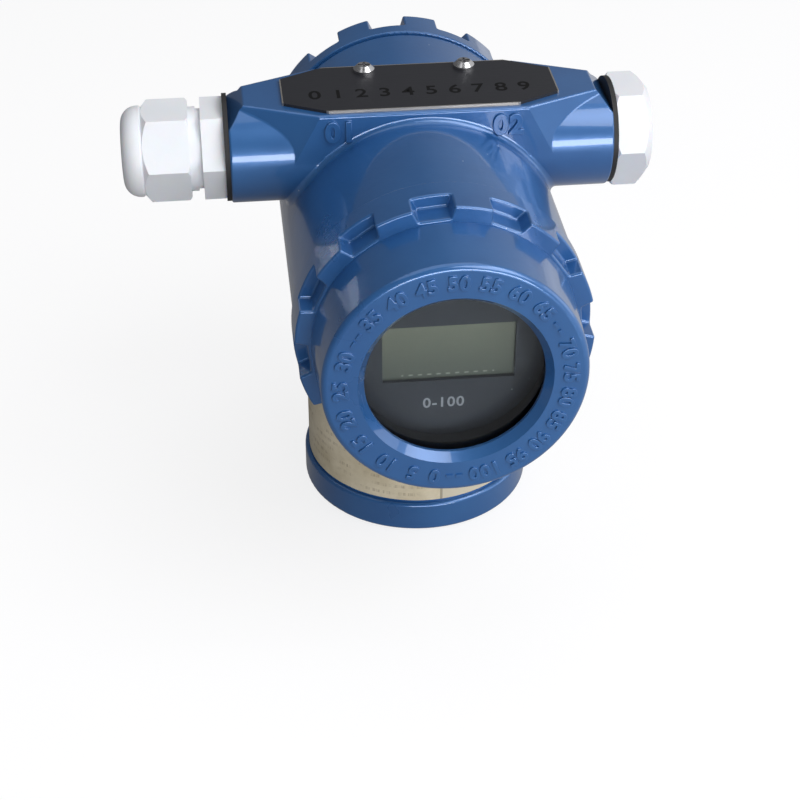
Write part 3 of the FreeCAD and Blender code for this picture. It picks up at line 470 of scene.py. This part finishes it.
wear("nameplate", finish=plate)

# %% [markdown]
# ## The foil label round the neck
# A warm satin foil, printed with pale brown fields that have rubbed thin. Its pattern follows the
# neck: the angle round the axis and the height stand in for across and up.

# %% Neck label
foil = Finish("label_foil", Specular_IOR_Level=0.4)
fx, fy, fz = foil.axes(foil.place())
around = foil.math("ARCTAN2", fx, foil.math("MULTIPLY", fy, -1.0))
neck_radius = (label_high.x - label_low.x) / 2
across = foil.math("MULTIPLY", around, neck_radius)
paper = foil.add("ShaderNodeCombineXYZ", {"X": across, "Y": fz, "Z": 0.0})
blotch = foil.noise(paper, 70.0, 5.0, 0.65)
warm = foil.mix(foil.ramp(blotch, 0.35, 0.65), colour(196, 184, 156), colour(226, 216, 192))
SEAM_TURN = 0.12        # radians from the front to the overlapped end of the foil
OVERLAP_TURN = 0.95     # radians that the paler overlap takes
ROW = 2.7 * MM          # height of one row of print
past_seam = foil.math("SUBTRACT", around, SEAM_TURN)
overlap = foil.math("MULTIPLY", foil.math("GREATER_THAN", past_seam, 0.0),
                    foil.math("LESS_THAN", past_seam, OVERLAP_TURN))
seam = foil.math("LESS_THAN", foil.math("ABSOLUTE", past_seam), 0.012)
paper_colour = foil.mix(overlap, warm, colour(206, 198, 178))
tint = foil.mix(foil.math("MULTIPLY", seam, 0.6), paper_colour, colour(120, 110, 96))
row = foil.math("FRACT", foil.math("DIVIDE", fz, ROW))
in_row = foil.math("LESS_THAN", foil.math("ABSOLUTE", foil.math("SUBTRACT", row, 0.5)), 0.2)
row_number = foil.math("FLOOR", foil.math("DIVIDE", fz, ROW))
along = foil.add("ShaderNodeCombineXYZ", {
    "X": across, "Y": foil.math("MULTIPLY", row_number, 0.37), "Z": 0.0})
strokes = foil.ramp(foil.noise(along, 900.0, 2.0, 0.7), 0.47, 0.53)
words = foil.ramp(foil.noise(along, 120.0, 1.0), 0.44, 0.5)
worn = foil.ramp(foil.noise(paper, 180.0, 4.0, 0.7), 0.4, 0.62)
printed = foil.math("MULTIPLY", foil.math("MULTIPLY", in_row, strokes), words)
print_mask = foil.math("MULTIPLY", foil.math("MULTIPLY", printed, worn), 0.6)
foil.set("Base Color", foil.mix(print_mask, tint, colour(126, 104, 78)))
foil.set("Metallic", foil.ramp(blotch, 0.3, 0.7, 0.05, 0.15))
foil.set("Roughness", foil.ramp(worn, 0.0, 1.0, 0.38, 0.52))
foil.bump(blotch, 0.05)
wear("neck_label", finish=foil)

# %% [markdown]
# ## Raised numerals on the cover's face
# The face carries cast marks. Here they are plain numbers, laid out as on a dial. Each is a text
# object turned into a mesh, so that it has real walls and rounded edges, then turned and moved to
# its place.

# %% Text as a mesh


def letters(words, size, rise, edge, bold=0.0):
    """Raised characters in the XY plane, centred on the origin. Sizes are in millimetres, and
    bold is how far each outline grows outwards."""
    text = bpy.data.curves.new("characters", "FONT")
    text.body = words
    text.size = size * MM
    text.extrude = rise * MM
    text.bevel_depth = edge * MM
    text.bevel_resolution = 2
    text.offset = bold * MM
    text.align_x, text.align_y = "CENTER", "CENTER"
    text.space_character = 1.12
    holder = bpy.data.objects.new("characters", text)
    bpy.context.scene.collection.objects.link(holder)
    bpy.context.view_layer.update()
    shape = bpy.data.meshes.new_from_object(holder)
    bpy.data.objects.remove(holder)
    return shape


def piece(name, shapes, finish, body):
    """Joins placed meshes into one object that rides on a body."""
    whole = bmesh.new()
    for shape, matrix in shapes:
        shape.transform(matrix)
        whole.from_mesh(shape)
    bmesh.ops.remove_doubles(whole, verts=whole.verts, dist=1e-6)
    bmesh.ops.recalc_face_normals(whole, faces=whole.faces)
    mesh = bpy.data.meshes.new(name)
    whole.to_mesh(mesh)
    whole.free()
    made = bpy.data.objects.new(name, mesh)
    bpy.context.scene.collection.objects.link(made)
    mesh.materials.clear()
    mesh.materials.append(finish.material)
    for polygon in mesh.polygons:
        polygon.material_index = 0
    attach(made, body)
    print(name, len(mesh.polygons), "faces on", body)
    return made


# %% Numbers round the face
FACE_RADIUS = 28.6      # millimetres to the middle of the flat ring of the face
FACE_TURN = Matrix.Rotation(math.pi / 2, 4, "X")      # lays XY on the face, looking along -Y
axis_point = Vector((0.0, cover_face, axis_height))


def on_face(radius, degrees):
    """The matrix that sets a flat mesh on the face. Degrees run clockwise from the top."""
    turn = Matrix.Rotation(-math.radians(degrees), 4, "Z")
    out = Matrix.Translation((0.0, radius * MM, 0.0))
    return Matrix.Translation(axis_point) @ FACE_TURN @ turn @ out


THIRD = 120.0           # degrees that one group and its two dashes take
DASH_ARC = 15.0         # degrees kept free for the two dashes
DIGIT_ARC = 5.7         # degrees from one digit to the next
NUMBERS = 7             # numbers in a group, in steps of five
groups = [[str(5 * step) for step in range(first, first + NUMBERS)]
          for first in (0, NUMBERS, 2 * NUMBERS)]
shapes = []
for third, words in enumerate(groups):
    digits = sum(len(number) for number in words)
    space = (THIRD - DASH_ARC - digits * DIGIT_ARC) / (len(words) - 1)
    at = -180.0 + THIRD * third + DASH_ARC / 2
    for number in words:
        for digit in number:
            figure = letters(digit, size=5.3, rise=0.34, edge=0.14, bold=0.1)
            shapes.append((figure, on_face(FACE_RADIUS, at + DIGIT_ARC / 2)))
            at += DIGIT_ARC
        at += space
    print("group", third, "has", digits, "digits and spaces of", round(space, 1), "degrees")
piece("face_numbers", shapes, blue, "front_cover")

# %% [markdown]
# ## Dashes between the numbers
# What repeats is made with Geometry Nodes: bars stand on a circle, and a formula keeps the first
# two of each third, in the gaps that the numbers leave.

# %% A tree for bars on a circle


def bar_tree():
    """Bars on a circle. Of every so many places, the first two get a bar."""
    tree = bpy.data.node_groups.new("bars_on_a_circle", "GeometryNodeTree")
    for label, kind, value in (("Radius", "NodeSocketFloat", 0.03), ("Count", "NodeSocketInt", 60),
                               ("Every", "NodeSocketInt", 5), ("Length", "NodeSocketFloat", 0.002),
                               ("Width", "NodeSocketFloat", 0.0008),
                               ("Rise", "NodeSocketFloat", 0.0005),
                               ("Finish", "NodeSocketMaterial", None)):
        socket = tree.interface.new_socket(label, in_out="INPUT", socket_type=kind)
        if value is not None:
            socket.default_value = value
    tree.interface.new_socket("Geometry", in_out="OUTPUT", socket_type="NodeSocketGeometry")
    ins = tree.nodes.new("NodeGroupInput").outputs
    graph = Graph(tree)
    circle = graph.add("GeometryNodeMeshCircle", {"Vertices": ins["Count"],
                                                  "Radius": ins["Radius"]})
    index = graph.add("GeometryNodeInputIndex")
    rhythm = graph.add("ShaderNodeMath", {0: index, 1: ins["Every"]}, operation="MODULO")
    chosen = graph.add("ShaderNodeMath", {0: rhythm, 1: 1.5}, operation="LESS_THAN")
    size = graph.add("ShaderNodeCombineXYZ", {"X": ins["Length"], "Y": ins["Width"],
                                              "Z": ins["Rise"]})
    bar = graph.add("GeometryNodeMeshCube", {"Size": size})
    spot = graph.add("GeometryNodeInputPosition")
    facing = graph.add("FunctionNodeAlignRotationToVector", {"Vector": spot}, axis="X")
    bars = graph.add("GeometryNodeInstanceOnPoints", {
        "Points": circle, "Selection": chosen, "Instance": bar, "Rotation": facing})
    real = graph.add("GeometryNodeRealizeInstances", {"Geometry": bars})
    done = graph.add("GeometryNodeSetMaterial", {"Geometry": real, "Material": ins["Finish"]})
    graph.feed(tree.nodes.new("NodeGroupOutput"), "Geometry", done)
    return tree


def grow(name, tree, finish, **values):
    """Runs a Geometry Nodes tree once and gives back the mesh that it makes."""
    seed = bpy.data.objects.new(name, bpy.data.meshes.new(name))
    bpy.context.scene.collection.objects.link(seed)
    modifier = seed.modifiers.new("nodes", "NODES")
    modifier.node_group = tree
    values["Finish"] = finish.material
    for item in tree.interface.items_tree:
        label = item.name.replace(" ", "_")
        if item.in_out == "INPUT" and label in values:
            modifier[item.identifier] = values[label]
    bpy.context.view_layer.update()
    evaluated = seed.evaluated_get(bpy.context.evaluated_depsgraph_get())
    shape = bpy.data.meshes.new_from_object(evaluated)
    bpy.data.objects.remove(seed)
    return shape


PLACES = 72             # places on the circle, of which two in every third get a bar
dashes = grow("dashes", bar_tree(), blue, Radius=FACE_RADIUS * MM, Count=PLACES,
              Every=PLACES // 3, Length=0.8 * MM, Width=1.7 * MM, Rise=0.8 * MM)
half_step = 360.0 / PLACES / 2
first_gap = THIRD / 2 - 90.0 + half_step      # the circle's first point lies at 90 degrees
piece("face_dashes", [(dashes, on_face(0.0, first_gap))], blue, "front_cover")

# %% [markdown]
# ## Numerals on the block and print on the plate
# The two buttons under the plate are numbered on the front of the block, 01 and 02, as raised
# figures. The plate and the display bezel carry printed figures a hair above the surface.

# %% Numerals 01 and 02
button_low, button_high = span("span_button")
button_x = (button_low.x + button_high.x) / 2
BLOCK_FRONT = -15.05 * MM       # the block's front wall
NUMERAL_DROP = 4.9 * MM         # from the top of the block to the middle of a numeral
for words, side in (("01", -1), ("02", 1)):
    spot = Vector((button_x * side, BLOCK_FRONT, pad_top - NUMERAL_DROP))
    numeral = letters(words, size=7.6, rise=0.55, edge=0.18, bold=0.25)
    piece("button_number_" + words, [(numeral, Matrix.Translation(spot) @ FACE_TURN)], blue,
          "housing")

# %% Print on the plate and the bezel
ink = moulded("black_ink", colour(14, 14, 16), colour(8, 8, 9), 0.6, 0.3, 0.01,
              Specular_IOR_Level=0.15)
plate_spot = Vector((plate_mid.x, plate_low.y + 9.8 * MM, plate_high.z))
plate_row = letters("0 1 2 3 4 5 6 7 8 9", size=7.0, rise=0.03, edge=0.0, bold=0.1)
piece("plate_figures", [(plate_row, Matrix.Translation(plate_spot))], ink,
      "housing")

grey_ink = moulded("grey_ink", colour(150, 152, 156), colour(132, 134, 139), 0.5, 0.3, 0.01)
bezel_spot = Vector((-1.2 * MM, bezel_low.y, axis_height - 15.2 * MM))
bezel_row = letters("0-100", size=4.2, rise=0.012, edge=0.0, bold=0.08)
piece("bezel_figures", [(bezel_row, Matrix.Translation(bezel_spot) @ FACE_TURN)], grey_ink,
      "housing")

# %% [markdown]
# ## Springs under the buttons
# A coil shortens when its button goes down. The frame's coil is stiff, so a merged copy stands for
# it on the housing, and the frame's coil is hidden.

# %% Springs as merged copies
for name in ("zero", "span"):
    coil = piece(name + "_coil", [(nodes[name + "_spring"].data.copy(), Matrix.Identity(4))],
                 spring_steel, "housing")
    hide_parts(name + "_spring")
    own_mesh(coil)

# %% [markdown]
# ## Floor, light and camera
# The part stands on a plain white floor. The main soft lamp hangs above, in front and to the
# right, with a small one near it for a crisp glint, a large one overhead, and two low ones, at
# the right and in front, for the sides that look away from the rest. Enamel and glass need
# something pale to mirror, so gloss sees a pale wall on the right, and the floor glows for gloss
# alone as painted light, brighter on the right, while the left stays dim and gives the round
# forms a dark side. The camera stands in front, a little to the left and well above.

# %% Floor
floor_finish = Finish("floor", Roughness=0.9, Specular_IOR_Level=0.0)
floor_finish.set("Base Color", colour(126, 126, 128))
floor_ray = floor_finish.tree.nodes.new("ShaderNodeLightPath")
floor_finish.set("Emission Color", (1.0, 1.0, 1.0, 1.0))
floor_x, _, _ = floor_finish.axes(floor_finish.place())
# painted light: the floor glows in gloss only, brighter to the right, as if a lamp lit that side
floor_painted_glow = floor_finish.ramp(floor_x, -0.1, 0.5, 0.04, 0.7)      # brighter to the right
floor_shine = floor_finish.math("MULTIPLY", floor_ray.outputs["Is Glossy Ray"], floor_painted_glow)
floor_seen = floor_finish.math("MULTIPLY", floor_ray.outputs["Is Camera Ray"], 0.8)
floor_finish.set("Emission Strength", floor_finish.math("ADD", floor_seen, floor_shine))
floor_mesh = bpy.data.meshes.new("floor")
FLOOR_REACH = 3.0       # metres from the middle to each side
floor_mesh.from_pydata([(-FLOOR_REACH, -FLOOR_REACH, 0), (FLOOR_REACH, -FLOOR_REACH, 0),
                        (FLOOR_REACH, FLOOR_REACH, 0), (-FLOOR_REACH, FLOOR_REACH, 0)],
                       [], [(0, 1, 2, 3)])
floor = bpy.data.objects.new("floor", floor_mesh)
bpy.context.scene.collection.objects.link(floor)
floor_mesh.materials.append(floor_finish.material)
floor.location.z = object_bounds()[0][2] - 0.0002

# %% World
# A studio with a pale wall on the right: gloss sees that wall, and the left stays dim.
world = bpy.data.worlds.new("room")
bpy.context.scene.world = world
world.use_nodes = True
room = Graph(world.node_tree)
backdrop = world.node_tree.nodes["Background"]
ray = world.node_tree.nodes.new("ShaderNodeLightPath")
seen = room.math("MAXIMUM", ray.outputs["Is Camera Ray"], ray.outputs["Is Transmission Ray"])
side, _, _ = room.axes(room.add("ShaderNodeTexCoord", out="Generated"))
pale_wall = room.ramp(side, 0.0, 0.9, 0.12, 0.7)
glossy = ray.outputs["Is Glossy Ray"]
FILL = 0.28             # how strongly the room lights everything from all around
fill = room.math("MULTIPLY", room.math("SUBTRACT", 1.0, glossy), FILL)
unseen = room.math("ADD", room.math("MULTIPLY", glossy, pale_wall), fill)
room.feed(backdrop, "Color", (1.0, 1.0, 1.0, 1.0))
room.feed(backdrop, "Strength", room.math("MAXIMUM", seen, unseen))

# %% Lamps


def lamp(name, spot, aim, size, watts):
    """A soft rectangular lamp that looks at a point."""
    light = bpy.data.lights.new(name, "AREA")
    light.shape = "RECTANGLE"
    light.size, light.size_y = size
    light.energy = watts
    holder = bpy.data.objects.new(name, light)
    holder.location = spot
    holder.rotation_euler = (Vector(aim) - Vector(spot)).to_track_quat("-Z", "Y").to_euler()
    bpy.context.scene.collection.objects.link(holder)


middle = (0.0, 0.0, axis_height)
lamp("key_lamp", (0.45, -0.48, 0.8), middle, (0.8, 0.6), 5.8)
lamp("glint_lamp", (0.5, -0.1, 0.8), middle, (0.16, 0.3), 0.6)
lamp("top_lamp", (-0.05, 0.15, 0.9), middle, (1.0, 0.8), 2.2)
lamp("right_lamp", (0.8, -0.1, 0.25), middle, (0.6, 0.4), 0.9)
lamp("front_lamp", (0.15, -0.9, 0.12), middle, (0.7, 0.2), 4.4)

# %% Camera
# Three angles turn the camera: round the part, above the floor, and about its own line of sight.
AZIMUTH, ELEVATION, ROLL = math.radians(-6.51), math.radians(35.12), math.radians(0.18)
camera_spot = Vector((-55.18, -442.54, 336.81)) * MM
back = Vector((math.sin(AZIMUTH) * math.cos(ELEVATION), -math.cos(AZIMUTH) * math.cos(ELEVATION),
               math.sin(ELEVATION)))
right = Vector((math.cos(AZIMUTH), math.sin(AZIMUTH), 0.0))
up = back.cross(right)
rolled_right = right * math.cos(ROLL) + up * math.sin(ROLL)
rolled_up = up * math.cos(ROLL) - right * math.sin(ROLL)
lens = bpy.data.cameras.new("camera")
lens.sensor_width = 36.0
FOCAL, FRAME = 1796.85, 800.0       # focal length and frame width in the same small unit
lens.lens = FOCAL / FRAME * lens.sensor_width
lens.clip_start = 0.01
camera = bpy.data.objects.new("camera", lens)
turn = Matrix((rolled_right, rolled_up, back)).transposed()
camera.matrix_world = Matrix.Translation(camera_spot) @ turn.to_4x4()
bpy.context.scene.collection.objects.link(camera)
bpy.context.scene.camera = camera
bpy.context.scene.view_settings.view_transform = "Standard"
print("camera at", [round(v, 3) for v in camera_spot])
